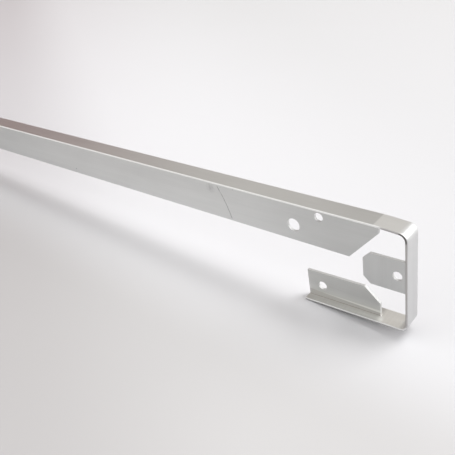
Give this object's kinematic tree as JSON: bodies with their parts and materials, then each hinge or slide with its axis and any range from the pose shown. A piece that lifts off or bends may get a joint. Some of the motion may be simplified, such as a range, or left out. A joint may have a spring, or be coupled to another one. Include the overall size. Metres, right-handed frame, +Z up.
{
  "type": "worktop corner joint strip",
  "caption": "Straight aluminium T-section cover strip with its end notched and bent into a square hook, for joining two kitchen worktops at a corner.",
  "frame": {"origin": "middle of the strip's length and of the cap's width, level with the lowest edge of the leg", "axes": "+X along the bar towards the hook, +Z up, square to the cap, +Y across the cap"},
  "size_m": [0.6308, 0.008, 0.0417],
  "materials": {
    "satin_aluminium": "satin, natural mill finish with fine lines along the extrusion"
  },
  "bodies": {
    "root": {"worktop_joint_strip": "satin_aluminium"}
  },
  "joints": []
}
